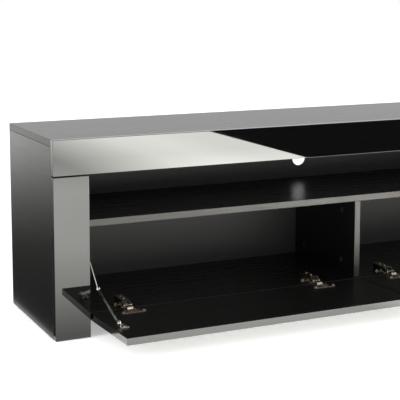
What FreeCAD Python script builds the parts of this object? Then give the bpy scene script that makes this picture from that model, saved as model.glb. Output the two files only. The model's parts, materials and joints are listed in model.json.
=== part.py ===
"""Low media cabinet with two drop-down flaps, in FreeCAD, in millimetres.

A chipboard carcass (top, outer sides, inner uprights, bottom, shelf, divider, grooved back) wears
a gloss top rail and two gloss leg fronts.  Under the open niche hang two drop-down flaps, each on
two concealed cup hinges and one folding stay.  The flaps are drawn open, resting on their stays.

Frame: +X to the right seen from the front, +Y towards the back, +Z up.  The origin is on the
floor, at the centre of the space that the open cabinet takes.
"""
import FreeCAD
import Part
import math
import os

V = FreeCAD.Vector
X_AXIS, Y_AXIS, Z_AXIS = V(1, 0, 0), V(0, 1, 0), V(0, 0, 1)

# ---- driving dimensions --------------------------------------------------------------------
width = 1600.0            # outer width over the side panels
height = 450.0            # floor to the top face
depth = 340.0             # gloss front face to the rear edges
board = 16.0              # carcass board thickness
front_board = 16.0        # gloss rail, leg fronts and flaps
back_thickness = 3.0      # hardboard back
rail_height = 80.0
leg_width = 82.0
front_gap = 2.4           # shadow gap between rail and leg fronts
foot_clear = 37.0         # floor to the underside of the bottom panel
compartment_height = 193.0
finger_gap = 14.0         # shelf and divider stand this far behind a closed flap
back_inset = 13.0         # back panel to the rear edges
groove_depth = 6.0
edge_radius = 0.8         # edging on the carcass boards
front_edge_radius = 1.0   # edging on the gloss boards
fit = 0.2                 # clearance of loose fits

# ---- flaps ---------------------------------------------------------------------------------
flap_side_gap = 3.0
flap_middle_gap = 2.4
flap_under_gap = 0.5      # closed flap's lower edge above the bottom panel's underside
flap_top_gap = 1.0        # closed flap's upper edge below the shelf's top face
flap_step = 1.0           # open flap's inner face above the bottom panel
pivot_depth = 5.0         # flap axis behind the gloss face
open_tilt = 1.7           # degrees that the open flap's front stands above level
bottom_setback = 2.5      # bottom panel's front edge behind a closed flap

# ---- hinges --------------------------------------------------------------------------------
hinge_insets = (92.0, 124.0)   # hinge centres to the flap's left and right ends
cup_radius = 17.5
cup_depth = 11.7
cup_wall = 0.8
cup_edge = 5.0            # cup rim to the flap's lower edge
plate_thickness = 1.2
flange_length = 62.0
flange_width = 16.0
flange_offset = 9.5       # flange screws beyond the cup centre
flange_screws = 48.0
link_turn = 66.0          # degrees a hinge link turns while its flap closes
link_width = 14.0
link_thickness = 2.0
arm_width = 20.0
arm_height = 12.0
arm_length = 62.0
arm_wall = 1.5
mount_setback = 37.0      # mounting screws behind the bottom panel's front edge
mount_screws = 32.0

# ---- stays ---------------------------------------------------------------------------------
stay_bar = 7.0            # width of the flat bars
stay_thickness = 1.8
stay_plane = 15.0         # upper link's near face from the upright
stay_wall_pivot = (80.0, 190.0)    # behind the gloss face, above the floor
stay_elbow = (0.0, 111.0)
stay_flap_pivot = (-124.0, 66.0)

# ---- small fittings ------------------------------------------------------------------------
cam_radius = 7.5
cam_depth = 12.5
cam_distance = 32.0       # cam centre from the board's end
cam_bolt_radius = 3.0
dowel_radius = 4.0
dowel_length = 30.0
rail_dowel_offset = 64.0
screw_radius = 1.6
cable_radius = 20.0
cable_height = 314.0
glide_radius = 7.0
glide_height = 2.0
nail_length = 12.0

# ---- places that follow from them ----------------------------------------------------------
half = width / 2
bottom_top = foot_clear + board
shelf_bottom = bottom_top + compartment_height
shelf_top = shelf_bottom + board
top_bottom = height - board
rail_bottom = height - rail_height
leg_top = rail_bottom - front_gap
inner_face = half - leg_width                 # inner uprights' faces towards the compartments
flap_low = foot_clear + flap_under_gap
flap_high = shelf_top - flap_top_gap
flap_length = flap_high - flap_low
pivot_height = bottom_top + flap_step - front_board + pivot_depth
flap_near = pivot_depth + pivot_height - flap_low        # open flap's rear edge
turn = 90.0 - open_tilt                                  # travel of a flap
tilt = math.radians(open_tilt)
reach = pivot_depth + (flap_near - flap_length - pivot_depth) * math.cos(tilt) - pivot_depth * math.sin(tilt)
front = -(reach + depth) / 2                  # row Y of the gloss face; the open flaps reach forward
carcass_front = front + front_board
rear = front + depth
back_face = rear - back_inset - back_thickness
bottom_front = carcass_front + bottom_setback
shelf_front = carcass_front + finger_gap
pivot = V(0, front + pivot_depth, pivot_height)
flap_inner_z = bottom_top + flap_step         # open flap's inner face while it lies level
cup_line = front + flap_near - cup_edge - cup_radius
flap_x0 = -inner_face + flap_side_gap         # left flap's ends
flap_x1 = -flap_middle_gap / 2
# both flaps are drilled alike, so the pair drawn on the left for mirroring has its insets swapped
left_hinges = (flap_x0 + hinge_insets[0], flap_x1 - hinge_insets[1])
right_hinges = (flap_x0 + hinge_insets[1], flap_x1 - hinge_insets[0])
link_axis = V(0, carcass_front + 3.5, pivot_height + 15.5)
wall_pivot = V(0, front + stay_wall_pivot[0], stay_wall_pivot[1])
elbow = V(0, front + stay_elbow[0], stay_elbow[1])
flap_pivot = V(0, front + stay_flap_pivot[0], stay_flap_pivot[1])


# ---- helpers -------------------------------------------------------------------------------
def block(x0, x1, y0, y1, z0, z1):
    return Part.makeBox(x1 - x0, y1 - y0, z1 - z0, V(x0, y0, z0))


def board_solid(x0, x1, y0, y1, z0, z1, radius=edge_radius):
    """A board with its edges eased."""
    solid = block(x0, x1, y0, y1, z0, z1)
    return solid.makeFillet(radius, solid.Edges)


def rod(radius, start, end):
    start, end = V(*start), V(*end)
    return Part.makeCylinder(radius, (end - start).Length, start, end - start)


def merge(shapes):
    """One solid from pieces that touch."""
    first, rest = shapes[0], shapes[1:]
    return first.fuse(rest).removeSplitter() if rest else first


def raise_flap(shape):
    """Turns a shape drawn on a level flap to the open flap's tilt."""
    moved = shape.copy()
    moved.rotate(pivot, X_AXIS, -open_tilt)
    return moved


def closed(point, angle=turn):
    """Where a point of the open flap goes as the flap closes by that angle."""
    return FreeCAD.Rotation(X_AXIS, -angle).multVec(point - pivot) + pivot


def bar_angle(start, end):
    return math.degrees(math.atan2(end.z - start.z, end.y - start.y))


def closed_elbow():
    """The elbow of a folded stay: both bars keep their length, and it hangs below and behind."""
    upper, lower = (elbow - wall_pivot).Length, (elbow - flap_pivot).Length
    across = closed(flap_pivot) - wall_pivot
    along = (upper ** 2 - lower ** 2 + across.Length ** 2) / (2 * across.Length)
    off = math.sqrt(upper ** 2 - along ** 2)
    unit = across / across.Length
    return wall_pivot + unit * along + V(0, -unit.z, unit.y) * off


def stay_turns():
    """Degrees about +X that closing turns the upper bar, and the lower bar relative to its flap."""
    folded = closed_elbow()
    upper = bar_angle(wall_pivot, folded) - bar_angle(wall_pivot, elbow)
    lower = bar_angle(closed(flap_pivot), folded) - bar_angle(flap_pivot, elbow)
    return upper, lower + turn


def slab(outline, x0, x1):
    """An upright plate: a closed wire in the YZ plane, drawn at x0 and thickened to x1."""
    return Part.Face(outline).extrude(V(x1 - x0, 0, 0))


def bar(start, end, bar_width, x0, x1):
    """A flat bar with round ends between two pivots, upright in the YZ plane."""
    along = end - start
    side = V(0, -along.z, along.y).normalize() * (bar_width / 2)
    cap = along.normalize() * (bar_width / 2)
    a, b = V(x0, start.y, start.z), V(x0, end.y, end.z)
    wire = Part.Wire([
        Part.LineSegment(a + side, b + side).toShape(),
        Part.Arc(b + side, b + cap, b - side).toShape(),
        Part.LineSegment(b - side, a - side).toShape(),
        Part.Arc(a - side, a - cap, a + side).toShape(),
    ])
    return slab(wire, x0, x1)


def stadium(cx, cy, length, breadth, z0, z1):
    """A flat plate with round ends, long in X."""
    r, h = breadth / 2, length / 2 - breadth / 2
    wire = Part.Wire([
        Part.LineSegment(V(cx - h, cy + r, z0), V(cx + h, cy + r, z0)).toShape(),
        Part.Arc(V(cx + h, cy + r, z0), V(cx + h + r, cy, z0), V(cx + h, cy - r, z0)).toShape(),
        Part.LineSegment(V(cx + h, cy - r, z0), V(cx - h, cy - r, z0)).toShape(),
        Part.Arc(V(cx - h, cy - r, z0), V(cx - h - r, cy, z0), V(cx - h, cy + r, z0)).toShape(),
    ])
    return Part.Face(wire).extrude(V(0, 0, z1 - z0))


# ---- cam joints and dowels: (pieces, and the holes they need) -------------------------------
class Joinery:
    """Collects a family of cams, bolts and dowels, and the holes that each board needs for them."""

    def __init__(self):
        self.cams, self.bolts, self.dowels, self.holes = [], [], [], {}

    def hole(self, name, tool):
        self.holes.setdefault(name, []).append(tool)

    def cam(self, host, guest, centre, into, towards):
        """A cam in the host's face at centre, sunk along into, pulling a bolt that stands in the guest."""
        centre, into, towards = V(*centre), V(*into), V(*towards)
        mid = centre + into * (board / 2)
        seam = mid + towards * cam_distance
        body = rod(cam_radius - fit, centre, centre + into * cam_depth)
        throat = rod(cam_bolt_radius + fit, mid + towards * 1.0, mid + towards * (cam_radius + 1))
        self.cams.append(body.cut(throat))
        self.bolts.append(rod(cam_bolt_radius, mid + towards * 1.5, seam + towards * 10))
        self.hole(host, rod(cam_radius, centre, centre + into * cam_depth))
        self.hole(host, rod(cam_bolt_radius + fit, mid, seam))
        self.hole(guest, rod(cam_bolt_radius, seam, seam + towards * 10))

    def dowel(self, host, guest, seam, towards):
        """A beech dowel across a seam, deeper in the host's end than in the guest's face."""
        seam, towards = V(*seam), V(*towards)
        start, end = seam - towards * (dowel_length - 10), seam + towards * 10
        self.dowels.append(rod(dowel_radius, start, end))
        self.hole(host, rod(dowel_radius, start, seam))
        self.hole(guest, rod(dowel_radius, seam, end))


joinery = Joinery()
cam_rows = (shelf_front + 60, back_face - 48)          # front and rear cam, in Y
dowel_rows = tuple(y + 32 * s for y, s in zip(cam_rows, (1, -1)))


def divider_joints():
    for y in cam_rows:
        for guest, z, way in (("middle_shelf", shelf_bottom, 1), ("bottom_panel", bottom_top, -1)):
            joinery.cam("divider", guest, (-board / 2, y, z - way * cam_distance), (1, 0, 0), (0, 0, way))
    for y in dowel_rows:
        joinery.dowel("divider", "middle_shelf", (0, y, shelf_bottom), (0, 0, 1))
        joinery.dowel("divider", "bottom_panel", (0, y, bottom_top), (0, 0, -1))


def upright_joints(side, name):
    """Shelf and bottom panel to one inner upright; side is -1 on the left and 1 on the right."""
    seam = side * inner_face
    for host, under, mid in (("middle_shelf", shelf_bottom, shelf_bottom + board / 2),
                             ("bottom_panel", foot_clear, foot_clear + board / 2)):
        for y in cam_rows:
            joinery.cam(host, name, (seam - side * cam_distance, y, under), (0, 0, 1), (side, 0, 0))
        for y in dowel_rows:
            joinery.dowel(host, name, (seam, y, mid), (side, 0, 0))


def top_joints(face, into, name):
    """Top panel to an upright board whose cams sit in the given face."""
    for y in cam_rows:
        joinery.cam(name, "top_panel", (face, y, top_bottom - cam_distance), (into, 0, 0), (0, 0, 1))
    for y in dowel_rows:
        joinery.dowel(name, "top_panel", (face + into * board / 2, y, top_bottom), (0, 0, 1))


def front_joints():
    """Gloss rail to the top panel and leg fronts to the side panels; cams face inwards."""
    forward, cam_y = (0, -1, 0), carcass_front + cam_distance
    for x in (-half * 0.75, -half * 0.25, half * 0.25, half * 0.75):
        joinery.cam("top_panel", "front_rail", (x, cam_y, top_bottom), (0, 0, 1), forward)
        seam = (x + rail_dowel_offset, carcass_front, top_bottom + board / 2)
        joinery.dowel("top_panel", "front_rail", seam, forward)
    for side, tag in ((-1, "left"), (1, "right")):
        name, leg = "side_panel_" + tag, "leg_front_" + tag
        for z in (leg_top * 0.2, leg_top * 0.85):
            joinery.cam(name, leg, (side * (half - board), cam_y, z), (side, 0, 0), forward)
        joinery.dowel(name, leg, (side * (half - board / 2), carcass_front, leg_top * 0.5), forward)


def glides():
    """Nail-in glides under the outer sides and inner uprights."""
    pieces = []
    for side in (-1, 1):
        tag = "left" if side < 0 else "right"
        for from_middle, name in ((half - board / 2, "side_panel_"), (inner_face + board / 2, "inner_upright_")):
            x = side * from_middle
            for y in (carcass_front + 30, back_face - 30):
                pad = rod(glide_radius, (x, y, 0), (x, y, glide_height))
                nail = rod(screw_radius / 2, (x, y, glide_height), (x, y, glide_height + nail_length))
                pieces.append(merge([pad, nail]))
                joinery.hole(name + tag, nail)
    return Part.makeCompound(pieces)


# ---- boards --------------------------------------------------------------------------------
def back_groove(x0, x1, z0, z1):
    """The slot that the hardboard back slides into."""
    return block(x0, x1, back_face - fit, back_face + back_thickness + fit, z0, z1)


def carcass_boards():
    boards = {}
    for side, tag in ((-1, "left"), (1, "right")):
        outer = sorted((side * half, side * (half - board)))
        inner = sorted((side * inner_face, side * (inner_face + board)))
        leg = sorted((side * half, side * inner_face))
        boards["side_panel_" + tag] = board_solid(*outer, carcass_front, rear, glide_height, top_bottom)
        boards["inner_upright_" + tag] = board_solid(*inner, carcass_front, back_face, glide_height,
                                                     top_bottom)
        boards["leg_front_" + tag] = board_solid(*leg, front, carcass_front, glide_height, leg_top,
                                                front_edge_radius)
        slot = sorted((side * (half - board), side * (half - board + groove_depth)))
        joinery.hole("side_panel_" + tag, back_groove(*slot, foot_clear + board / 2, top_bottom))
    boards["top_panel"] = board_solid(-half, half, carcass_front, rear, top_bottom, height)
    boards["front_rail"] = board_solid(-half, half, front, carcass_front, rail_bottom, height, front_edge_radius)
    boards["bottom_panel"] = board_solid(-inner_face, inner_face, bottom_front, rear, foot_clear, bottom_top)
    boards["middle_shelf"] = board_solid(-inner_face, inner_face, shelf_front, back_face, shelf_bottom,
                                         shelf_top)
    boards["divider"] = board_solid(-board / 2, board / 2, shelf_front, back_face, bottom_top, shelf_bottom)
    groove_x = half - board + groove_depth
    joinery.hole("top_panel", back_groove(-groove_x, groove_x, top_bottom, top_bottom + groove_depth))
    joinery.hole("bottom_panel", back_groove(-inner_face, inner_face, bottom_top - groove_depth, bottom_top))
    return boards


def back_panel():
    x = half - board + groove_depth - 0.5
    sheet = block(-x, x, back_face, back_face + back_thickness, bottom_top - groove_depth + 0.5,
                  top_bottom + groove_depth - 0.5)
    hole = rod(cable_radius, (0, back_face - 1, cable_height), (0, back_face + back_thickness + 1, cable_height))
    return sheet.cut(hole)


# ---- one flap with its fittings, drawn for the left side and mirrored for the right ----------
def pocket(x):
    """The hole that a hinge cup drops into."""
    z = flap_inner_z
    return rod(cup_radius + fit, (x, cup_line, z - cup_depth - fit), (x, cup_line, z + 1))


def screw_spots(x):
    y = cup_line - flange_offset
    return [(x + s * flange_screws / 2, y) for s in (-1, 1)]


def flap_board(xs):
    near, far, z = front + flap_near, front + flap_near - flap_length, flap_inner_z
    panel = board_solid(flap_x0, flap_x1, far, near, z - front_board, z, front_edge_radius)
    tools = [pocket(x) for x in xs]
    for x in xs:
        tools += [rod(screw_radius, (sx, sy, z - 11), (sx, sy, z + 1)) for sx, sy in screw_spots(x)]
    return raise_flap(panel.cut(tools))


def pan_screw(x, y, z, head_radius, head_height, length):
    """An upright pan-head screw whose head sits on z."""
    head = Part.makeCylinder(head_radius, head_height, V(x, y, z))
    top = [e for e in head.Edges if e.BoundBox.ZMin > z + head_height / 2 and e.BoundBox.XLength > head_radius]
    head = head.makeFillet(head_height * 0.6, top)
    return merge([head, rod(screw_radius - fit / 2, (x, y, z - length), (x, y, z))])


def hinge_cups(xs):
    pieces = []
    for x in xs:
        z = flap_inner_z
        cup = rod(cup_radius, (x, cup_line, z - cup_depth), (x, cup_line, z))
        rim = rod(cup_radius + 1.0, (x, cup_line, z), (x, cup_line, z + plate_thickness))
        flange = stadium(x, cup_line - flange_offset, flange_length, flange_width, z, z + plate_thickness)
        hollow = rod(cup_radius - cup_wall, (x, cup_line, z - cup_depth + cup_wall), (x, cup_line, z + 3))
        body = merge([cup, rim, flange]).cut(hollow)
        for sx, sy in screw_spots(x):
            body = body.cut(rod(screw_radius + fit, (sx, sy, z - 1), (sx, sy, z + 3)))
        pieces.append(body)
    return raise_flap(Part.makeCompound(pieces))


def hinge_cup_screws(xs):
    z = flap_inner_z + plate_thickness
    spots = [spot for x in xs for spot in screw_spots(x)]
    return raise_flap(Part.makeCompound([pan_screw(sx, sy, z, 3.5, 1.8, 10) for sx, sy in spots]))


def link_profile():
    """The curved strap of a hinge link, from its pin over the flap's edge and down into the cup."""
    a, t = link_axis, link_thickness / 2
    tip = a + V(0, -18.7, -5.5)
    knee, bend = a + V(0, -11.5, 0.9), a + V(0, -17.0, -1.2)

    def edge(offset):
        return [a + V(0, 0, offset), knee + V(0, 0, offset), bend + V(0, -offset * 0.7, offset * 0.7),
                tip + V(0, -offset, 0)]

    over, under = edge(t), edge(-t)
    wire = Part.Wire([
        Part.LineSegment(over[0], over[1]).toShape(),
        Part.Arc(over[1], over[2], over[3]).toShape(),
        Part.LineSegment(over[3], under[3]).toShape(),
        Part.Arc(under[3], under[2], under[1]).toShape(),
        Part.LineSegment(under[1], under[0]).toShape(),
        Part.LineSegment(under[0], over[0]).toShape(),
    ])
    return wire


def hinge_links(xs):
    pieces = []
    for x in xs:
        strap = slab(link_profile(), 0, link_width)
        strap.translate(V(x - link_width / 2, 0, 0))
        pin = rod(2.0, (x - arm_width / 2, link_axis.y, link_axis.z), (x + arm_width / 2, link_axis.y, link_axis.z))
        window = block(x - 2.5, x + 2.5, link_axis.y - 16, link_axis.y - 4, link_axis.z - 6, link_axis.z + 6)
        pieces.append(merge([strap, pin]).cut(window))
    return Part.makeCompound(pieces)


def arm_blank(x, inset, z0, z1):
    """The arm's side outline, thickened to the width that the inset leaves."""
    y0, y1 = link_axis.y, link_axis.y + arm_length
    nose = 3.2
    a = V(0, y0, link_axis.z)
    points = [V(0, y0, a.z + nose), V(0, y0 + 10, z1), V(0, y1, z1), V(0, y1, z0), V(0, y0 + 4, z0),
              V(0, y0, a.z - nose)]
    edges = [Part.LineSegment(points[i], points[i + 1]).toShape() for i in range(5)]
    edges.append(Part.Arc(points[5], V(0, y0 - nose, a.z), points[0]).toShape())
    body = slab(Part.Wire(edges), 0, arm_width - 2 * inset)
    body.translate(V(x - arm_width / 2 + inset, 0, 0))
    return body


def hinge_arms(xs):
    """Slide-on arms: folded channels, open underneath, that carry the link pins."""
    z0, z1 = bottom_top + 3.0, bottom_top + 3.0 + arm_height
    pieces = []
    for x in xs:
        hollow = block(x - arm_width / 2 + arm_wall, x + arm_width / 2 - arm_wall, link_axis.y - 8,
                       link_axis.y + arm_length + 1, z0 - 1, z1 - arm_wall)
        arm = arm_blank(x, 0, z0, z1).cut(hollow)
        pin_hole = rod(2.05, (x - arm_width, link_axis.y, link_axis.z),
                       (x + arm_width, link_axis.y, link_axis.z))
        front_open = block(x - arm_width / 2 + arm_wall, x + arm_width / 2 - arm_wall, link_axis.y - 8,
                           link_axis.y + 7, z0 - 4, z1 + 1)
        slot = stadium(0, 0, 12, 4.6, z1 - 4, z1 + 1)
        slot.rotate(V(0, 0, 0), Z_AXIS, 90)
        slot.translate(V(x, link_axis.y + 46, 0))
        adjuster = rod(2.3, (x, link_axis.y + 24, z1 - 4), (x, link_axis.y + 24, z1 + 1))
        pieces.append(arm.cut([pin_hole, front_open, slot, adjuster]))
    return Part.makeCompound(pieces)


mount_line = bottom_front + mount_setback
arm_top = bottom_top + 3.0 + arm_height


def hinge_mounts(xs):
    """Mounting plates: a winged base on the bottom panel and the block that the arm slides over."""
    pieces = []
    for x in xs:
        wings = stadium(x, mount_line, 45, 12, bottom_top, bottom_top + 2.4)
        core_half = arm_width / 2 - arm_wall - fit
        core = block(x - core_half, x + core_half, mount_line - 18, mount_line + 24, bottom_top, arm_top - arm_wall - 0.3)
        body = merge([wings, core])
        for s in (-1, 1):
            sx = x + s * mount_screws / 2
            body = body.cut(rod(screw_radius + fit, (sx, mount_line, bottom_top - 1), (sx, mount_line, bottom_top + 4)))
        for y in (link_axis.y + 46, link_axis.y + 24):
            body = body.cut(rod(2.05, (x, y, bottom_top + 2), (x, y, arm_top)))
        pieces.append(body)
    return Part.makeCompound(pieces)


def mount_screw_spots(xs):
    return [(x + s * mount_screws / 2, mount_line) for x in xs for s in (-1, 1)]


def hinge_mount_screws(xs):
    z = bottom_top + 2.4
    return Part.makeCompound([pan_screw(sx, sy, z, 3.2, 1.8, 14) for sx, sy in mount_screw_spots(xs)])


def hinge_arm_screws(xs):
    """The clamping and the adjusting screw of each arm."""
    pieces = []
    for x in xs:
        for y, head in ((link_axis.y + 46, 3.6), (link_axis.y + 24, 2.8)):
            top = Part.makeCylinder(head, 2.0, V(x, y, arm_top))
            pieces.append(merge([top, rod(2.0, (x, y, arm_top - 9), (x, y, arm_top))]))
    return Part.makeCompound(pieces)


stay_x0 = -inner_face + stay_plane                 # upper bar, then the lower bar beside it
stay_x1 = stay_x0 + stay_thickness
stay_x2 = stay_x1 + 0.4
stay_x3 = stay_x2 + stay_thickness


def stay_wall_bracket():
    """A plate on the upright with a stub axle for the upper bar."""
    x, p = -inner_face, wall_pivot
    plate = bar(p + V(0, 0, -16), p + V(0, 0, 16), 14, x, x + 2)
    boss = rod(4.5, (x + 2, p.y, p.z), (stay_x0 - 0.2, p.y, p.z))
    axle = rod(2.2, (stay_x0 - 0.2, p.y, p.z), (stay_x1 + 0.5, p.y, p.z))
    head = rod(4.0, (stay_x1 + 0.3, p.y, p.z), (stay_x1 + 1.7, p.y, p.z))
    body = merge([plate, boss, axle, head])
    heights = (p.z - 14, p.z + 14)
    return body.cut([rod(screw_radius + fit, (x - 1, p.y, z), (x + 3, p.y, z)) for z in heights])


def stay_wall_screws():
    x, p = -inner_face, wall_pivot
    pieces = []
    for s in (-1, 1):
        z = p.z + s * 14
        head = rod(3.0, (x + 2, p.y, z), (x + 3.4, p.y, z))
        pieces.append(merge([head, rod(screw_radius - fit / 2, (x - 11, p.y, z), (x + 2, p.y, z))]))
        joinery.hole("inner_upright_left", rod(screw_radius, (x - 11, p.y, z), (x, p.y, z)))
        joinery.hole("inner_upright_right", rod(screw_radius, (-x, p.y, z), (-x + 11, p.y, z)))
    return Part.makeCompound(pieces)


def stay_upper_link():
    """Flat bar from the wall axle to the elbow, with the elbow's outer rivet head."""
    body = bar(wall_pivot, elbow, stay_bar, stay_x0, stay_x1)
    body = body.cut(rod(2.3, (stay_x0 - 1, wall_pivot.y, wall_pivot.z), (stay_x1 + 1, wall_pivot.y, wall_pivot.z)))
    rivet = rod(4.2, (stay_x0 - 1.6, elbow.y, elbow.z), (stay_x0, elbow.y, elbow.z))
    return merge([body, rivet])


def stay_lower_link():
    """Flat bar from the elbow to the flap bracket, with the elbow's inner rivet head."""
    body = bar(elbow, flap_pivot, stay_bar, stay_x2, stay_x3)
    body = body.cut(rod(2.3, (stay_x2 - 1, flap_pivot.y, flap_pivot.z), (stay_x3 + 1, flap_pivot.y, flap_pivot.z)))
    rivet = rod(4.2, (stay_x3, elbow.y, elbow.z), (stay_x3 + 1.6, elbow.y, elbow.z))
    return merge([body, rivet])


def flap_level(point):
    """A point of the open flap, turned back to where it lies on the level flap."""
    return FreeCAD.Rotation(X_AXIS, open_tilt).multVec(point - pivot) + pivot


bracket_point = flap_level(flap_pivot)
bracket_screws = [(stay_x3 + 9.5, bracket_point.y - 8), (stay_x3 + 9.5, bracket_point.y + 8)]


def stay_flap_bracket():
    """An angle on the flap whose ear holds the lower bar's axle."""
    p, z = bracket_point, flap_inner_z
    ear_x = stay_x3 + 0.4
    foot = board_solid(ear_x, ear_x + 18, p.y - 14, p.y + 14, z, z + 2.0, 0.4)
    ear = merge([block(ear_x, ear_x + 2, p.y - 7, p.y + 7, z + 0.5, p.z),
                 rod(7, (ear_x, p.y, p.z), (ear_x + 2, p.y, p.z))])
    ear = ear.common(block(ear_x - 1, ear_x + 3, p.y - 8, p.y + 8, z + 0.5, p.z + 10))
    axle = rod(2.2, (stay_x2 - 0.2, p.y, p.z), (ear_x + 3.2, p.y, p.z))
    head = rod(3.6, (stay_x2 - 1.6, p.y, p.z), (stay_x2 - 0.2, p.y, p.z))
    body = merge([foot, ear, axle, head])
    return raise_flap(body.cut([rod(screw_radius + fit, (sx, sy, z - 1), (sx, sy, z + 3)) for sx, sy in bracket_screws]))


def stay_flap_screws():
    z = flap_inner_z + 2.0
    return raise_flap(Part.makeCompound([pan_screw(sx, sy, z, 3.2, 1.8, 10) for sx, sy in bracket_screws]))


def flap_with_bracket_holes(xs):
    z = flap_inner_z
    holes = [rod(screw_radius, (sx, sy, z - 9), (sx, sy, z + 1)) for sx, sy in bracket_screws]
    return flap_board(xs).cut([raise_flap(h) for h in holes])


HINGED_NODES = {
    "flap": flap_with_bracket_holes,
    "hinge_cups": hinge_cups,
    "hinge_cup_screws": hinge_cup_screws,
    "hinge_links": hinge_links,
    "hinge_arms": hinge_arms,
    "hinge_mounts": hinge_mounts,
    "hinge_mount_screws": hinge_mount_screws,
    "hinge_arm_screws": hinge_arm_screws,
}
STAY_NODES = {
    "stay_wall_bracket": stay_wall_bracket,
    "stay_wall_screws": stay_wall_screws,
    "stay_upper_link": stay_upper_link,
    "stay_lower_link": stay_lower_link,
    "stay_flap_bracket": stay_flap_bracket,
    "stay_flap_screws": stay_flap_screws,
}


def mirrored(shape):
    return shape.mirror(V(0, 0, 0), X_AXIS)


def build():
    nodes = carcass_boards()
    nodes["back_panel"] = back_panel()
    divider_joints()
    upright_joints(-1, "inner_upright_left")
    upright_joints(1, "inner_upright_right")
    for side, tag in ((-1, "left"), (1, "right")):
        top_joints(side * (half - board), side, "side_panel_" + tag)
        top_joints(side * (inner_face + board), -side, "inner_upright_" + tag)
    front_joints()
    nodes["floor_glides"] = glides()
    for name, make in HINGED_NODES.items():
        nodes["left_" + name] = make(left_hinges)
        nodes["right_" + name] = mirrored(make(right_hinges))
    for name, make in STAY_NODES.items():
        nodes["left_" + name] = make()
        nodes["right_" + name] = mirrored(nodes["left_" + name])
    for side, xs in ((1, left_hinges), (-1, right_hinges)):
        for sx, sy in mount_screw_spots(xs):
            x = side * sx
            joinery.hole("bottom_panel", rod(screw_radius, (x, sy, bottom_top - 12), (x, sy, bottom_top)))
    nodes["cam_locks"] = Part.makeCompound(joinery.cams)
    nodes["cam_bolts"] = Part.makeCompound(joinery.bolts)
    nodes["dowels"] = Part.makeCompound(joinery.dowels)
    for name, tools in joinery.holes.items():
        nodes[name] = nodes[name].cut(tools)
    return nodes


def main():
    os.makedirs("parts", exist_ok=True)
    for name, shape in build().items():
        assert shape.isValid(), name
        shape.exportStep(os.path.join("parts", name + ".step"))
    upper, lower = stay_turns()
    print("gloss face at Y %.3f, rear edges at Y %.3f" % (front, rear))
    print("flap axis at Y %.3f Z %.3f, travel %.2f" % (pivot.y, pivot.z, turn))
    print("stay upper turn %.3f lower turn %.3f" % (upper, lower))


main()
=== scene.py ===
"""Gloss-black media cabinet with its two drop-down flaps open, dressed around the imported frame."""

import bpy
import bmesh
import json
import math
from mathutils import Matrix, Vector

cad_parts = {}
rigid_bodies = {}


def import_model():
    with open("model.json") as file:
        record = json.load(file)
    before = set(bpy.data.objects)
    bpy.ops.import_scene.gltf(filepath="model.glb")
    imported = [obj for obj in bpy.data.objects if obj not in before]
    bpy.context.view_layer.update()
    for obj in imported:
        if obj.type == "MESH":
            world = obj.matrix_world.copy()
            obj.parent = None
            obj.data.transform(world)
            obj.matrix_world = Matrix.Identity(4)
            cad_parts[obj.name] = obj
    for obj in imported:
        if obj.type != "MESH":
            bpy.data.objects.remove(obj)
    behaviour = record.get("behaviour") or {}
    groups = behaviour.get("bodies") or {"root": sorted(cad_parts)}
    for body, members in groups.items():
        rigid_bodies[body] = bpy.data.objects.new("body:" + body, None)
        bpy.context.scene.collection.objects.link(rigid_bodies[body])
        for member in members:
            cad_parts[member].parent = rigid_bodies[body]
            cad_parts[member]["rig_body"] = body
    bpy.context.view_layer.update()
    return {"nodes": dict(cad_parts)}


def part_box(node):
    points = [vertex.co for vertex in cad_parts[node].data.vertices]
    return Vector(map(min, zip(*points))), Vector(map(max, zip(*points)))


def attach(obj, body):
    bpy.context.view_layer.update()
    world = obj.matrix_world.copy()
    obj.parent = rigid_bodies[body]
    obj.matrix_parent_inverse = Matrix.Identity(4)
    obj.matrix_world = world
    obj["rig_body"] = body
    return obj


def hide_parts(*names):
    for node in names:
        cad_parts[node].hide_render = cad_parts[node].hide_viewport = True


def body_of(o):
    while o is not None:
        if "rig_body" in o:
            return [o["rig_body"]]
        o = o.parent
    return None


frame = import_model()
nodes = frame["nodes"]

MM = 0.001
SIDES = ("left", "right")
OPEN_TILT = math.radians(1.7)          # the open flaps' fronts stand this much above level
BROAD_FACE = 0.8                       # least lean of a normal towards a board's broad side
TURNED_AWAY = 0.3                      # least lean of a normal towards a board's back
INNER_UPRIGHT_X, OUTER_SIDE_X = 0.70, 0.76  # fittings this far out sit in those boards
HEAD_FIT = 0.995                       # drawn screw heads against the plain ones they stand for

SHEET_LEVEL, SHEET_WARMTH = 1.08, 0.97 # brightness and tint of the studio's reflectors
SHEET_HEIGHT = 0.002                   # reflectors lie just above the floor
SHEET_FAR, SHEET_END = -6.0, 1.055     # far edge and right end of the bright front sheet
FLOOR_REACH, FLOOR_GLOW = 14.0, 0.35

# board nodes, and the axis that each board is thin along
LAMINATE_BOARDS = {
    "top_panel": 2, "bottom_panel": 2, "middle_shelf": 2, "divider": 0,
    "side_panel_left": 0, "side_panel_right": 0, "inner_upright_left": 0, "inner_upright_right": 0,
}
GLOSS_BOARDS = ("front_rail", "leg_front_left", "leg_front_right")


# ---- shader maths ----------------------------------------------------------------------------
class Value:
    """A socket in a material; arithmetic on it adds Math nodes."""

    def __init__(self, paint, socket):
        self.paint, self.socket = paint, socket

    def _math(self, operation, first, second):
        return self.paint.node("ShaderNodeMath", {"operation": operation}, {0: first, 1: second})

    def __add__(self, other):
        return self._math("ADD", self, other)

    __radd__ = __add__

    def __mul__(self, other):
        return self._math("MULTIPLY", self, other)

    __rmul__ = __mul__


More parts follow.
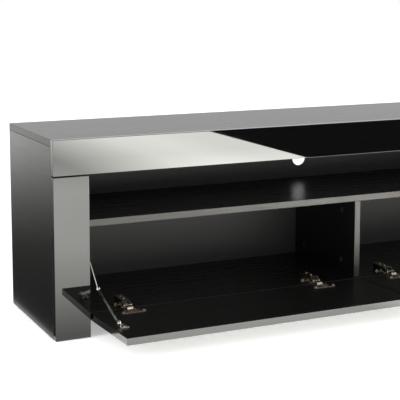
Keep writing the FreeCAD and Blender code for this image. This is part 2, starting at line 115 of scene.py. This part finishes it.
class Paint:
    """One material and the nodes that feed its shader."""

    def __init__(self, name, color, roughness, metallic=0.0, **sockets):
        self.material = bpy.data.materials.new(name)
        self.material.use_nodes = True
        self.tree = self.material.node_tree
        self.shader = self.tree.nodes["Principled BSDF"]
        self.material.diffuse_color = (*color, 1)
        plain = {"Base Color": (*color, 1), "Roughness": roughness, "Metallic": metallic, **sockets}
        for socket, value in plain.items():
            self.shader.inputs[socket].default_value = value

    def node(self, kind, settings, values, out=0):
        """Any node: its settings first, then a value or a link for each named or numbered socket."""
        made = self.tree.nodes.new(kind)
        stops = settings.pop("stops", None)
        for key, value in settings.items():
            setattr(made, key, value)
        if stops:
            ramp = made.color_ramp.elements
            while len(ramp) < len(stops):
                ramp.new(0.5)
            for element, (place, color) in zip(ramp, stops):
                element.position, element.color = place, (*color, 1)
        for key, value in values.items():
            if isinstance(value, Value):
                self.tree.links.new(value.socket, made.inputs[key])
            else:
                made.inputs[key].default_value = value
        return Value(self, made.outputs[out])

    def place(self, scale=(1, 1, 1)):
        """Object coordinates, stretched."""
        coords = self.node("ShaderNodeTexCoord", {}, {}, "Object")
        return self.node("ShaderNodeMapping", {}, {"Vector": coords, "Scale": scale})

    def noise(self, where, scale, detail=3.0, roughness=0.5):
        values = {"Vector": where, "Scale": scale, "Detail": detail, "Roughness": roughness}
        return self.node("ShaderNodeTexNoise", {}, values, "Fac")

    def ramp(self, value, *stops):
        return self.node("ShaderNodeValToRGB", {"stops": list(stops)}, {0: value}, "Color")

    def range(self, value, low, high, to_low, to_high):
        values = {0: value, 1: low, 2: high, 3: to_low, 4: to_high}
        return self.node("ShaderNodeMapRange", {}, values)

    def feed(self, socket, value):
        self.tree.links.new(value.socket, self.shader.inputs[socket])
        return self

    def relief(self, height, depth_mm, strength=1.0):
        """Bump from a height between 0 and 1 that stands for so many millimetres."""
        values = {"Height": height, "Distance": depth_mm * MM, "Strength": strength}
        return self.feed("Normal", self.node("ShaderNodeBump", {}, values))


def gloss(name, roughness, ripple_mm, ior=1.5):
    """Black lacquered face: mirror-like, with a faint long ripple and a little haze."""
    paint = Paint(name, (0.0025, 0.0025, 0.0027), roughness, IOR=ior)
    ripple = paint.noise(paint.place(), 9.0, 1.0)
    haze = paint.noise(paint.place(), 5.0, 3.0)
    paint.feed("Roughness", paint.range(haze, 0.3, 0.75, roughness * 0.6, roughness * 1.6))
    return paint.relief(ripple, ripple_mm, 0.5)


def laminate(name, along, tone, roughness):
    """Black melamine with fine open pores that run along one axis."""
    stretch = [1.0, 1.0, 1.0]
    stretch[along] = 0.04
    paint = Paint(name, (tone, tone * 0.96, tone * 0.92), roughness, IOR=1.38)
    where = paint.place(stretch)
    pores = paint.noise(where, 520.0, 2.0, 0.6)
    figure = paint.noise(where, 60.0, 4.0, 0.65)
    pattern = 0.65 * pores + 0.35 * figure
    dark, light = tone * 0.55, tone * 1.6
    paint.feed("Base Color", paint.ramp(pattern, (0.36, (dark, dark * 0.97, dark * 0.93)),
                                        (0.64, (light, light * 0.95, light * 0.9))))
    paint.feed("Roughness", paint.range(pattern, 0.35, 0.65, roughness * 1.1, roughness * 0.92))
    return paint.relief(pattern, 0.05, 0.14)


def edging(name, along, tone, roughness):
    """Thin edge band, a little smoother and warmer than the face it borders."""
    stretch = [1.0, 1.0, 1.0]
    stretch[along] = 0.03
    paint = Paint(name, (tone, tone * 0.88, tone * 0.76), roughness, IOR=1.36)
    streak = paint.noise(paint.place(stretch), 420.0, 2.0)
    paint.feed("Roughness", paint.range(streak, 0.3, 0.7, roughness * 0.85, roughness * 1.15))
    return paint.relief(streak, 0.03, 0.3)


def plated(name, color, roughness, grain):
    """Plated pressed steel with fine die marks and slight tarnish."""
    paint = Paint(name, color, roughness, 1.0)
    marks = paint.noise(paint.place((1.0, 0.15, 1.0)), grain, 2.0)
    tarnish = paint.noise(paint.place(), 90.0, 3.0)
    dull = [c * 0.72 for c in color]
    paint.feed("Base Color", paint.ramp(tarnish, (0.35, dull), (0.62, color)))
    paint.feed("Roughness", paint.range(marks, 0.3, 0.7, roughness * 0.7, roughness * 1.4))
    return paint.relief(marks, 0.01, 0.3)


def hardboard():
    paint = Paint("black_hardboard", (0.007, 0.007, 0.007), 0.42)
    fibre = paint.noise(paint.place(), 900.0, 3.0, 0.7)
    paint.feed("Roughness", paint.range(fibre, 0.3, 0.7, 0.5, 0.72))
    return paint.relief(fibre, 0.04, 0.4)


def beech():
    paint = Paint("beech_dowel", (0.55, 0.38, 0.22), 0.6)
    grain = paint.noise(paint.place((1, 1, 0.1)), 700.0, 3.0)
    paint.feed("Base Color", paint.ramp(grain, (0.3, (0.45, 0.3, 0.17)), (0.7, (0.62, 0.45, 0.28))))
    return paint.relief(grain, 0.05, 0.4)


def moulded(name, tone, roughness):
    paint = Paint(name, (tone, tone, tone), roughness)
    return paint.relief(paint.noise(paint.place(), 1500.0, 2.0), 0.02, 0.5)


PAINTS = {
    "gloss": gloss("high_gloss_black", 0.012, 0.02),
    "gloss_edge": gloss("high_gloss_edge", 0.10, 0.01, 1.62),
    "inner": laminate("flap_inner_face", 0, 0.0035, 0.34),
    "edge_x": edging("edge_band_long", 0, 0.028, 0.38),
    "edge_y": edging("edge_band_deep", 1, 0.028, 0.38),
    "edge_z": edging("edge_band_upright", 2, 0.028, 0.38),
    "face_x": laminate("laminate_long", 0, 0.003, 0.28),
    "face_y": laminate("laminate_deep", 1, 0.0035, 0.30),
    "face_z": laminate("laminate_upright", 2, 0.0035, 0.30),
    "nickel": plated("nickel_plate", (0.50, 0.44, 0.37), 0.24, 600.0),
    "stay": plated("stay_steel", (0.72, 0.68, 0.62), 0.26, 600.0),
    "screw": plated("screw_plate", (0.30, 0.27, 0.23), 0.36, 1200.0),
    "zinc": plated("cast_zinc", (0.30, 0.30, 0.31), 0.45, 900.0),
    "cam": moulded("blackened_cam", 0.02, 0.42),
    "hardboard": hardboard(),
    "beech": beech(),
    "moulded": moulded("moulded_black", 0.012, 0.45),
}


def finish_board(name, paints, choose):
    """Gives each face of a board the paint that its normal asks for."""
    mesh = nodes[name].data
    mesh.materials.clear()
    for key in paints:
        mesh.materials.append(PAINTS[key].material)
    for polygon in mesh.polygons:
        polygon.material_index = paints.index(choose(polygon.normal))


def finish_laminate_board(name, thin):
    """Laminate on the two broad faces, edge band round the rest; the bottom panel's edges take the dark
    laminate instead, painted shade for the seam behind the open flaps.
    """
    broad = "face_y" if thin == 0 else "face_x"
    # painted shade: the bottom panel's edges get the dark face laminate, not the lighter edge band, so the
    # seam behind the open flaps stays dark
    edge = "face_z" if name == "bottom_panel" else "edge_x" if thin == 2 else "edge_z"
    finish_board(name, [broad, edge],
                 lambda normal: broad if abs(normal[thin]) > BROAD_FACE else edge)


def finish_gloss_board(name, outward):
    """Gloss on the outer face, satin on the back, gloss edging round the rest."""
    outward = Vector(outward)

    def choose(normal):
        facing = normal.dot(outward)
        if facing > BROAD_FACE:
            return "gloss"
        return "inner" if facing < -TURNED_AWAY or normal.y > TURNED_AWAY else "gloss_edge"

    finish_board(name, ["gloss", "inner", "gloss_edge"], choose)


def finish_whole(name, key):
    finish_board(name, [key], lambda normal: key)


# ---- geometry trees for what repeats -----------------------------------------------------------
class Tree:
    """A Geometry Nodes tree with named inputs."""

    def __init__(self, name, **inputs):
        self.tree = bpy.data.node_groups.new(name, "GeometryNodeTree")
        face = self.tree.interface
        face.new_socket("Geometry", in_out="INPUT", socket_type="NodeSocketGeometry")
        face.new_socket("Geometry", in_out="OUTPUT", socket_type="NodeSocketGeometry")
        self.ids = {}
        for label, value in inputs.items():
            socket = face.new_socket(label, in_out="INPUT", socket_type="NodeSocketFloat")
            socket.default_value = value
            self.ids[label] = socket.identifier
        self.inputs = self.tree.nodes.new("NodeGroupInput")
        self.output = self.tree.nodes.new("NodeGroupOutput")

    def add(self, kind, settings=None, out=0, **values):
        """A node with its settings and its sockets' values or links, by label with _ for spaces."""
        made = self.tree.nodes.new(kind)
        for key, value in (settings or {}).items():
            setattr(made, key, value)
        for key, value in values.items():
            numbered = key[0] == "n" and key[1:].isdigit()
            socket = made.inputs[int(key[1:]) if numbered else key.replace("_", " ")]
            several = value if isinstance(value, list) else [value]
            for one in several:
                if isinstance(one, bpy.types.NodeSocket):
                    self.tree.links.new(one, socket)
                else:
                    socket.default_value = one
        return made.outputs[out]

    def math(self, operation, a, b):
        return self.add("ShaderNodeMath", {"operation": operation}, n0=a, n1=b)

    def xyz(self, x=0.0, y=0.0, z=0.0):
        return self.add("ShaderNodeCombineXYZ", X=x, Y=y, Z=z)

    def value(self, label):
        return self.inputs.outputs[label]

    def moved(self, geometry, x=0.0, y=0.0, z=0.0):
        return self.add("GeometryNodeTransform", Geometry=geometry, Translation=self.xyz(x, y, z))

    def rod(self, radius, height, base, sides=28):
        """A closed cylinder that stands on a height."""
        made = self.add("GeometryNodeMeshCylinder", n0=sides, Radius=radius, Depth=height)
        middle = self.math("ADD", base, self.math("MULTIPLY", height, 0.5))
        return self.moved(made, z=middle)

    def cone(self, low, high, height, base, sides=28):
        made = self.add("GeometryNodeMeshCone", n0=sides, Radius_Bottom=low, Radius_Top=high, Depth=height)
        return self.moved(made, z=base)

    def box(self, x, y, z, base):
        made = self.add("GeometryNodeMeshCube", Size=self.xyz(x, y, z))
        return self.moved(made, z=self.math("ADD", base, self.math("MULTIPLY", z, 0.5)))

    def join(self, *parts):
        return self.add("GeometryNodeJoinGeometry", Geometry=list(parts))

    def stamp_out(self, body, *tools):
        return self.add("GeometryNodeMeshBoolean", {"operation": "DIFFERENCE"}, n0=body, n1=list(tools))

    def close(self, shape, paint):
        """Stands the shape on every point, turned by the point's own turn, and paints it."""
        turn = self.add("GeometryNodeInputNamedAttribute", {"data_type": "FLOAT_VECTOR"}, Name="turn")
        rotation = self.add("FunctionNodeEulerToRotation", n0=turn)
        stood = self.add("GeometryNodeInstanceOnPoints", Points=self.inputs.outputs[0], Instance=shape,
                         Rotation=rotation)
        real = self.add("GeometryNodeRealizeInstances", Geometry=stood)
        painted = self.add("GeometryNodeSetMaterial", Geometry=real, Material=paint.material)
        self.tree.links.new(painted, self.output.inputs[0])
        return self


def screw_tree():
    """Pan-head screw with a cross recess: the head stands on the point and the shank hangs below."""
    tree = Tree("cross_screw", Head_Radius=3.2 * MM, Head_Height=1.8 * MM, Shank_Radius=1.5 * MM,
                Shank_Length=10 * MM, Recess=1.1 * MM)
    radius, height = tree.value("Head_Radius"), tree.value("Head_Height")
    rim = tree.math("MULTIPLY", height, 0.45)
    dome = tree.math("SUBTRACT", height, rim)
    head = tree.rod(radius, rim, 0.0)
    upper = tree.cone(radius, tree.math("MULTIPLY", radius, 0.66), dome, rim)
    floor = tree.math("SUBTRACT", height, tree.value("Recess"))
    slot = tree.math("MULTIPLY", radius, 0.24)
    upper = tree.stamp_out(upper, tree.box(radius, slot, height, floor),
                           tree.box(slot, radius, height, floor))
    length = tree.value("Shank_Length")
    shank = tree.rod(tree.value("Shank_Radius"), length, tree.math("MULTIPLY", length, -1.0), 16)
    return tree.close(tree.join(head, upper, shank), PAINTS["screw"])


def cam_tree():
    """Cam lock: a rimmed drum that lies flush, with a deep cross recess and a small pointer notch."""
    tree = Tree("cam_lock", Radius=7.25 * MM, Depth=12.4 * MM, Rim=0.7 * MM, Recess=3.0 * MM)
    radius, depth = tree.value("Radius"), tree.value("Depth")
    drum = tree.rod(radius, depth, tree.math("MULTIPLY", depth, -1.0), 40)
    inner = tree.math("SUBTRACT", radius, tree.value("Rim"))
    dish = tree.rod(inner, 2 * MM, -0.5 * MM, 40)
    floor = tree.math("MULTIPLY", tree.value("Recess"), -1.0)
    arm = tree.math("MULTIPLY", radius, 1.05)
    slot = tree.math("MULTIPLY", radius, 0.26)
    cross_x = tree.box(arm, slot, 6 * MM, floor)
    cross_y = tree.box(slot, arm, 6 * MM, floor)
    notch = tree.moved(tree.box(1.2 * MM, 2.6 * MM, 4 * MM, -1.0 * MM), y=5.6 * MM)
    return tree.close(tree.stamp_out(drum, dish, cross_x, cross_y, notch), PAINTS["cam"])


def islands(name):
    """The separate solids of a CAD node, each as a list of its corners."""
    copy = bmesh.new()
    copy.from_mesh(nodes[name].data)
    bmesh.ops.remove_doubles(copy, verts=copy.verts, dist=1e-6)
    seen, groups = set(), []
    for start in copy.verts:
        if start in seen:
            continue
        seen.add(start)
        group, edge_of_group = [], [start]
        while edge_of_group:
            vert = edge_of_group.pop()
            group.append(vert.co.copy())
            for edge in vert.link_edges:
                other = edge.other_vert(vert)
                if other not in seen:
                    seen.add(other)
                    edge_of_group.append(other)
        groups.append(group)
    copy.free()
    return groups


def measure(group, axis):
    """(lowest, highest along the axis, point on the axis at height 0, radius) of one solid."""
    axis = axis.normalized()
    side = axis.orthogonal().normalized()
    other = axis.cross(side)
    spans = [[p.dot(way) for p in group] for way in (axis, side, other)]
    middle = side * (min(spans[1]) + max(spans[1])) / 2 + other * (min(spans[2]) + max(spans[2])) / 2
    return min(spans[0]), max(spans[0]), middle, (max(spans[1]) - min(spans[1])) / 2


def grow(tree, spots, **sizes):
    """Runs a tree on points, each (place, axis), and returns a plain mesh."""
    seed = bpy.data.meshes.new("spots")
    seed.from_pydata([place for place, axis in spots], [], [])
    turns = seed.attributes.new("turn", "FLOAT_VECTOR", "POINT")
    for item, (place, axis) in zip(turns.data, spots):
        item.vector = axis.to_track_quat("Z", "Y").to_euler()
    holder = bpy.data.objects.new("spots", seed)
    bpy.context.scene.collection.objects.link(holder)
    modifier = holder.modifiers.new("grow", "NODES")
    modifier.node_group = tree.tree
    for label, value in sizes.items():
        modifier[tree.ids[label]] = value
    bpy.context.view_layer.update()
    ready = holder.evaluated_get(bpy.context.evaluated_depsgraph_get())
    mesh = bpy.data.meshes.new_from_object(ready)
    bpy.data.objects.remove(holder)
    return mesh


def piece(name, meshes, body_node, replaced):
    """One finished piece from meshes, riding with the body of the CAD node that it stands for."""
    joined = bmesh.new()
    materials = []
    for mesh in meshes:
        start = len(joined.faces)
        joined.from_mesh(mesh)
        joined.faces.ensure_lookup_table()
        paint = next(material for material in mesh.materials if material)
        if paint not in materials:
            materials.append(paint)
        for face in joined.faces[start:]:
            face.material_index = materials.index(paint)
    mesh = bpy.data.meshes.new(name)
    joined.to_mesh(mesh)
    joined.free()
    for material in materials:
        mesh.materials.append(material)
    made = bpy.data.objects.new(name, mesh)
    bpy.context.scene.collection.objects.link(made)
    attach(made, body_of(nodes[body_node])[0])
    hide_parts(*replaced)


def screws(tree, node, axis, head_height, shank_radius):
    """Cross screws in place of a CAD node of plain ones, each with its own radius and length."""
    kinds = {}
    for group in islands(node):
        low, high, middle, radius = measure(group, axis)
        seat = high - head_height
        key = (round(radius, 5), round(seat - low, 5))
        kinds.setdefault(key, []).append((middle + axis.normalized() * seat, axis))
    meshes = [grow(tree, spots, Head_Radius=radius * HEAD_FIT, Head_Height=head_height,
                   Shank_Radius=shank_radius, Shank_Length=length, Recess=head_height * 0.6)
              for (radius, length), spots in sorted(kinds.items())]
    piece(node + "_crossed", meshes, node, [node])


def cam_axis(group):
    """The way a cam's face looks: down from flat boards, out of the drilled face on others."""
    spans = [max(p[i] for p in group) - min(p[i] for p in group) for i in range(3)]
    if spans.index(min(spans)) == 2:
        return Vector((0, 0, -1))
    x = sum(p.x for p in group) / len(group)
    if abs(x) > OUTER_SIDE_X:
        return Vector((-math.copysign(1, x), 0, 0))
    if INNER_UPRIGHT_X < abs(x) < OUTER_SIDE_X:
        return Vector((math.copysign(1, x), 0, 0))
    return Vector((-1, 0, 0))


def cams(tree):
    spots = []
    for group in islands("cam_locks"):
        axis = cam_axis(group)
        low, high, middle, radius = measure(group, axis)
        spots.append((middle + axis * high, axis))
    piece("cam_locks_crossed", [grow(tree, spots)], "cam_locks", ["cam_locks"])


# ---- dressing ----------------------------------------------------------------------------------
def dress_boards():
    for name, thin in LAMINATE_BOARDS.items():
        finish_laminate_board(name, thin)
    for name in GLOSS_BOARDS:
        finish_gloss_board(name, (0, -1, 0))
    for side in SIDES:
        finish_gloss_board(side + "_flap", (0, -math.sin(OPEN_TILT), -math.cos(OPEN_TILT)))
    finish_whole("back_panel", "hardboard")
    finish_whole("dowels", "beech")
    finish_whole("cam_bolts", "zinc")
    finish_whole("floor_glides", "moulded")


def dress_fittings():
    screw, cam = screw_tree(), cam_tree()
    flap_up = Vector((0, -math.sin(OPEN_TILT), math.cos(OPEN_TILT)))
    for side in SIDES:
        for part in ("hinge_cups", "hinge_links", "hinge_arms", "hinge_mounts"):
            finish_whole(side + "_" + part, "nickel")
        for part in ("stay_wall_bracket", "stay_upper_link", "stay_lower_link", "stay_flap_bracket"):
            finish_whole(side + "_" + part, "stay")
        wall = Vector((1 if side == "left" else -1, 0, 0))
        screws(screw, side + "_hinge_cup_screws", flap_up, 1.8 * MM, 1.5 * MM)
        screws(screw, side + "_stay_flap_screws", flap_up, 1.8 * MM, 1.5 * MM)
        screws(screw, side + "_hinge_mount_screws", Vector((0, 0, 1)), 1.8 * MM, 1.5 * MM)
        screws(screw, side + "_hinge_arm_screws", Vector((0, 0, 1)), 2.0 * MM, 2.0 * MM)
        screws(screw, side + "_stay_wall_screws", wall, 1.4 * MM, 1.5 * MM)
    cams(cam)


# ---- studio ------------------------------------------------------------------------------------
def stage_plane(name, corners, material, seen=True):
    mesh = bpy.data.meshes.new(name)
    mesh.from_pydata(corners, [], [(0, 1, 2, 3)])
    mesh.materials.append(material)
    made = bpy.data.objects.new(name, mesh)
    bpy.context.scene.collection.objects.link(made)
    if not seen:
        made.visible_camera = made.visible_diffuse = made.visible_shadow = False
        made.visible_transmission = made.visible_volume_scatter = False
    return made


def glow(name, strength):
    """A lamp panel's skin."""
    material = bpy.data.materials.new(name)
    material.use_nodes = True
    tree = material.node_tree
    tree.nodes.clear()
    emission = tree.nodes.new("ShaderNodeEmission")
    emission.inputs["Strength"].default_value = strength
    output = tree.nodes.new("ShaderNodeOutputMaterial")
    tree.links.new(emission.outputs[0], output.inputs[0])
    return material


def graded_sheet(name, corners, grades):
    """A glowing reflector seen only in gloss, graded with painted light and shade; grades hold an axis and
    its (place in metres, level) stops.
    """
    material = glow(name, 1.0)
    tree = material.node_tree
    emission = tree.nodes["Emission"]
    coords = tree.nodes.new("ShaderNodeTexCoord")
    split = tree.nodes.new("ShaderNodeSeparateXYZ")
    tree.links.new(coords.outputs["Object"], split.inputs[0])
    total, before = SHEET_LEVEL, None
    for axis, stops in grades:
        low, high = stops[0][0], stops[-1][0]
        scaled = tree.nodes.new("ShaderNodeMapRange")
        tree.links.new(split.outputs[axis], scaled.inputs[0])
        scaled.inputs[1].default_value, scaled.inputs[2].default_value = low, high
        curve = tree.nodes.new("ShaderNodeValToRGB")
        tree.links.new(scaled.outputs[0], curve.inputs[0])
        top = max(level for place, level in stops)
        elements = curve.color_ramp.elements
        while len(elements) < len(stops):
            elements.new(0.5)
        for element, (place, level) in zip(elements, stops):
            element.position = (place - low) / (high - low)
            element.color = (level / top, level / top, level / top * SHEET_WARMTH, 1)
        total *= top
        product = tree.nodes.new("ShaderNodeVectorMath")
        product.operation = "MULTIPLY"
        tree.links.new(curve.outputs[0], product.inputs[0])
        if before:
            tree.links.new(before, product.inputs[1])
        else:
            product.inputs[1].default_value = (1, 1, 1)
        before = product.outputs[0]
    tree.links.new(before, emission.inputs[0])
    emission.inputs["Strength"].default_value = total
    stage_plane(name, corners, material, seen=False)


def area_light(name, place, target, size, power):
    data = bpy.data.lights.new(name, "AREA")
    data.shape, data.size, data.size_y = "RECTANGLE", size[0], size[1]
    data.energy = power
    lamp = bpy.data.objects.new(name, data)
    lamp.location = place
    lamp.rotation_euler = (Vector(target) - Vector(place)).to_track_quat("-Z", "Y").to_euler()
    bpy.context.scene.collection.objects.link(lamp)


def ground(x0, y0, x1, y1, z):
    """Corners of a level rectangle."""
    return [(x0, y0, z), (x1, y0, z), (x1, y1, z), (x0, y1, z)]


def studio():
    floor_paint = Paint("pale_floor", (0.92, 0.92, 0.92), 0.6)
    floor_paint.shader.inputs["Emission Color"].default_value = (1, 1, 1, 1)
    floor_paint.shader.inputs["Emission Strength"].default_value = FLOOR_GLOW
    corners = ground(-FLOOR_REACH, -FLOOR_REACH, FLOOR_REACH, FLOOR_REACH, 0)
    floor = stage_plane("floor", corners, floor_paint.material)
    floor.visible_glossy = False
    world = bpy.data.worlds.new("studio")
    world.use_nodes = True
    world.node_tree.nodes["Background"].inputs["Color"].default_value = (1, 1, 1, 1)
    world.node_tree.nodes["Background"].inputs["Strength"].default_value = 1.0
    bpy.context.scene.world = world
    # what the gloss fronts mirror: a bright sheet ahead that ends at the right, and the dark room past it;
    # the sheet's grades are painted light and shade, dimmer near the cabinet for the floor's shade there
    # and brighter to the right for the light from the right front
    depth_grades = ((-3.2, 6.0), (-2.5, 5.8), (-1.8, 7.6), (-0.9, 6.6), (-0.45, 4.6), (-0.1, 1.9))
    width_grades = ((-1.0, 0.9), (-0.45, 1.0), (0.0, 0.92), (0.2, 1.7),
                    (0.45, 2.6), (0.66, 2.8), (0.9, 2.5))
    graded_sheet("front_sheet", ground(-5, SHEET_FAR, SHEET_END, -0.05, SHEET_HEIGHT),
                 ((1, depth_grades), (0, width_grades)))
    stage_plane("room_right", ground(SHEET_END, SHEET_FAR, 6, -0.3, 0.003),
                glow("dark_room", 0.02), seen=False)
    # the shaded floor that the left side mirrors
    graded_sheet("side_sheet", ground(-6, -0.05, -0.81, 7, SHEET_HEIGHT),
                 ((1, ((0.0, 0.04), (0.9, 0.08), (1.8, 0.45), (3.2, 2.0), (5.0, 2.3))),))
    area_light("key", (-0.4, -2.9, 2.2), (-0.2, 0, 0.2), (2.2, 1.4), 26)
    area_light("left_fill", (-2.6, -0.6, 1.4), (-0.8, 0.1, 0.3), (1.6, 1.6), 18)
    bpy.context.scene.view_settings.view_transform = "Standard"


def camera():
    """Looks from the left front and a little above: yaw to the right, a slight pitch down."""
    sensor, focal_ratio, shift = 36.0, 1129.04 / 400, 0.18
    yaw, pitch, roll = math.radians(25.159), math.radians(7.278), math.radians(0.026)
    gloss_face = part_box("front_rail")[0][1]
    data = bpy.data.cameras.new("camera")
    data.sensor_width, data.lens = sensor, sensor * focal_ratio
    data.shift_y = -shift
    data.clip_end = 100
    ahead = Vector((math.sin(yaw) * math.cos(pitch), math.cos(yaw) * math.cos(pitch), -math.sin(pitch)))
    right = Vector((math.cos(yaw), -math.sin(yaw), 0))
    down = ahead.cross(right)
    right, down = (math.cos(roll) * right + math.sin(roll) * down,
                   math.cos(roll) * down - math.sin(roll) * right)
    turn = Matrix((right, -down, -ahead)).transposed()
    made = bpy.data.objects.new("camera", data)
    made.matrix_world = Matrix.Translation((-1.53543, -2.3124 + gloss_face, 0.78427)) @ turn.to_4x4()
    bpy.context.scene.collection.objects.link(made)
    bpy.context.scene.camera = made


dress_boards()
dress_fittings()
studio()
camera()
